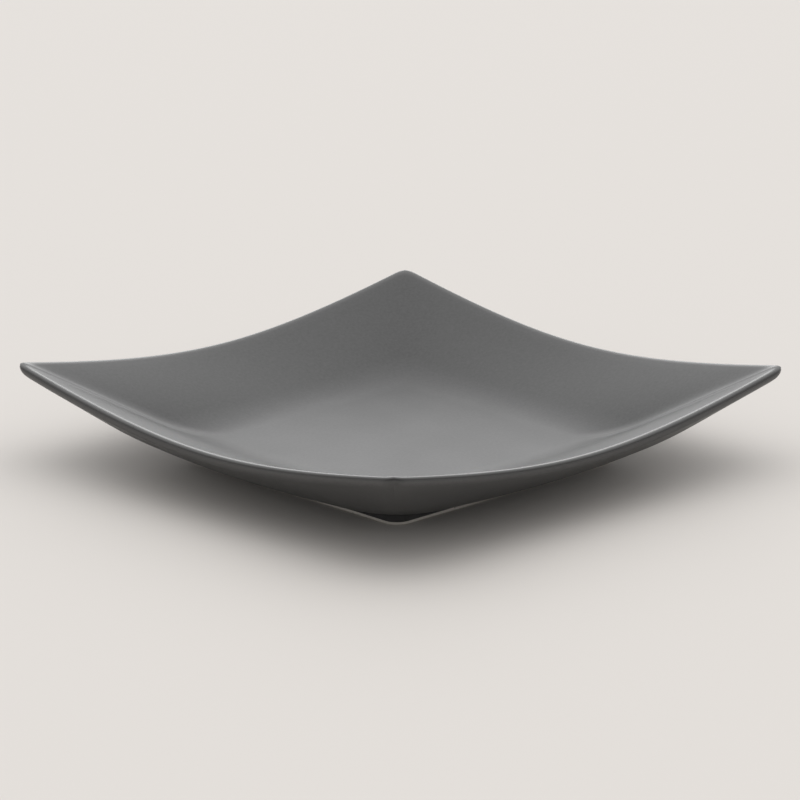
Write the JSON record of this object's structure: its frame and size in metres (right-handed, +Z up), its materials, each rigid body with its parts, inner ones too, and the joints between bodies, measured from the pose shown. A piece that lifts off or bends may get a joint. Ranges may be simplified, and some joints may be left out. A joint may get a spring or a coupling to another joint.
{
  "type": "square dinner plate",
  "caption": "Square dinner plate with raised corners and a dipped rim, in satin charcoal glaze over stoneware, standing on a square foot ring.",
  "frame": {"origin": "middle of the plate, on the table plane that the foot ring's bearing face stands on", "axes": "+Z up, square to the eating face; X and Y run along the plate's sides"},
  "size_m": [0.254, 0.254, 0.047],
  "materials": {
    "stoneware": "matte, unglazed",
    "charcoal_glaze": "satin"
  },
  "bodies": {
    "root": {"clay_body": "stoneware", "foot_ring": "stoneware", "inside_glaze": "charcoal_glaze", "outside_glaze": "charcoal_glaze", "foot_well_glaze": "charcoal_glaze"}
  },
  "joints": []
}
